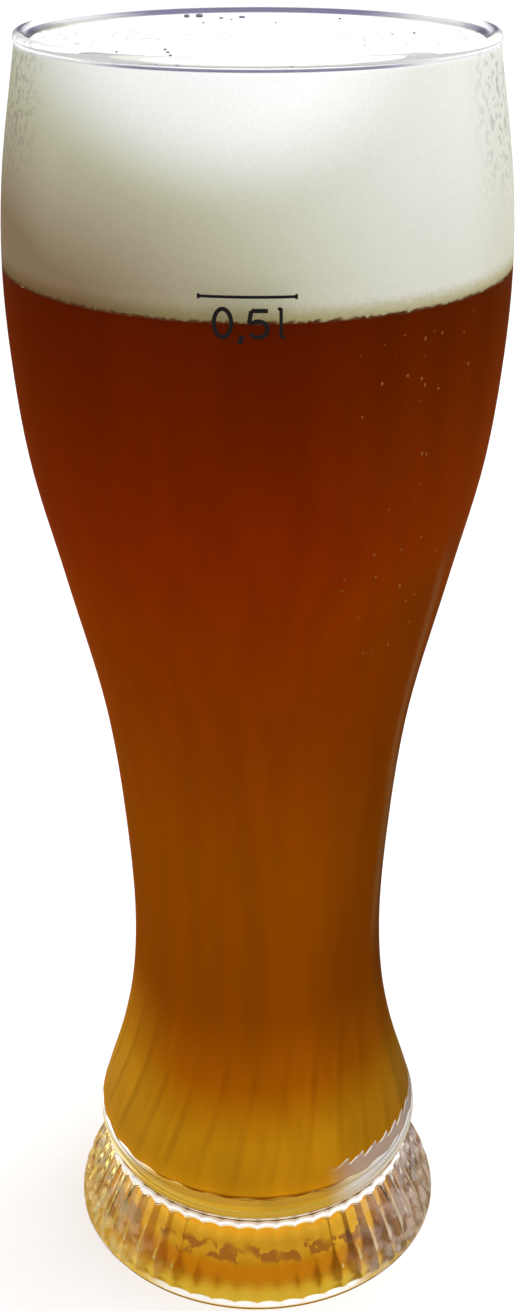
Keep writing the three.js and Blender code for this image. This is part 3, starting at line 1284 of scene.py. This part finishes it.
class BEER_OT_stage(bpy.types.Operator):
    """Set up the pale floor, the soft light and the photograph's camera"""

    bl_idname = "beer.stage"
    bl_label = "Stage"

    def execute(self, context):
        scene = context.scene
        stage = scene.drink.stage
        self.add_floor(stage)
        self.add_world(scene, stage)
        self.add_lamp(stage)
        self.add_camera(scene)
        scene.view_settings.view_transform = "Standard"
        scene.view_settings.look = "None"
        return {"FINISHED"}

    def add_floor(self, stage):
        tree = NodeTree(bpy.data.materials.new("pale_floor"))
        vector, _ = tree.place()
        tone = tree.spread(tree.noise(vector, 40.0, 3.0), 0.3, 0.7, 0.985, 1.015)
        tree.give("Base Color", tree.scaled(stage.floor_color, tone))
        tree.give("Roughness", 0.7)
        signs = ((-1, -1, 0), (1, -1, 0), (1, 1, 0), (-1, 1, 0))
        corners = FLOOR_REACH * np.array(signs)
        mesh_object("studio_floor", corners, [(0, 1, 2, 3)], tree.owner)

    def add_world(self, scene, stage):
        """Soft light from all round, stronger from above right than from the left."""
        scene.world = bpy.data.worlds.new("studio")
        tree = NodeTree(scene.world, "Background")
        direction = tree.add("TexCoord").outputs["Generated"]
        side = tree.add("VectorMath", {0: direction}, operation="DOT_PRODUCT")
        side.inputs[1].default_value = Vector(BRIGHT_SIDE).normalized()
        value = side.outputs["Value"]
        strength = tree.spread(value, -0.5, 0.95, stage.dim_light, stage.bright_light)
        tree.give("Strength", strength)
        tree.give("Color", WHITE)

    def add_lamp(self, stage):
        data = bpy.data.lights.new("key_light", "AREA")
        data.size = LAMP_SIZE
        data.energy = stage.key_power
        lamp = bpy.data.objects.new("key_light", data)
        lamp.location = LAMP_PLACE
        aim = Vector(LAMP_AIM) - Vector(LAMP_PLACE)
        lamp.rotation_euler = aim.to_track_quat("-Z", "Y").to_euler()
        bpy.context.collection.objects.link(lamp)

    def add_camera(self, scene):
        data = bpy.data.cameras.new("camera")
        data.sensor_width = SENSOR
        data.lens = FOCAL_PIXELS * SENSOR / PHOTO_HEIGHT
        data.clip_start = 0.01
        camera = bpy.data.objects.new("camera", data)
        camera.location = (0, -CAMERA_DISTANCE, CAMERA_HEIGHT)
        camera.rotation_euler = (math.pi / 2 - CAMERA_PITCH, 0, 0)
        bpy.context.collection.objects.link(camera)
        scene.camera = camera


class BEER_PT_panel(bpy.types.Panel):
    """The drink's pieces and their settings"""

    bl_label = "Wheat Beer Glass"
    bl_idname = "BEER_PT_panel"
    bl_space_type = "VIEW_3D"
    bl_region_type = "UI"
    bl_category = "Beer"

    def draw(self, context):
        drink = context.scene.drink
        for group in ("glass", "beer", "foam", "mark", "specks", "stage"):
            box = self.layout.box()
            box.operator("beer." + group)
            settings = getattr(drink, group)
            for name in settings.__annotations__:
                box.prop(settings, name)


# The groups come before the one that points to them
SETTINGS = (GlassSettings, BeerSettings, FoamSettings, MarkSettings, SpecksSettings, StageSettings)
SETTINGS += (DrinkSettings,)
TOOLS = (BEER_OT_glass, BEER_OT_beer, BEER_OT_foam, BEER_OT_mark, BEER_OT_specks, BEER_OT_stage)
TOOLS += (BEER_PT_panel,)


def register():
    for kind in SETTINGS + TOOLS:
        bpy.utils.register_class(kind)
    bpy.types.Scene.drink = PointerProperty(type=DrinkSettings)


def unregister():
    del bpy.types.Scene.drink
    for kind in reversed(SETTINGS + TOOLS):
        bpy.utils.unregister_class(kind)


def main():
    register()
    bpy.ops.beer.glass()
    bpy.ops.beer.beer()
    bpy.ops.beer.foam()
    bpy.ops.beer.mark()
    bpy.ops.beer.specks()
    bpy.ops.beer.stage()


if __name__ == "__main__":
    main()
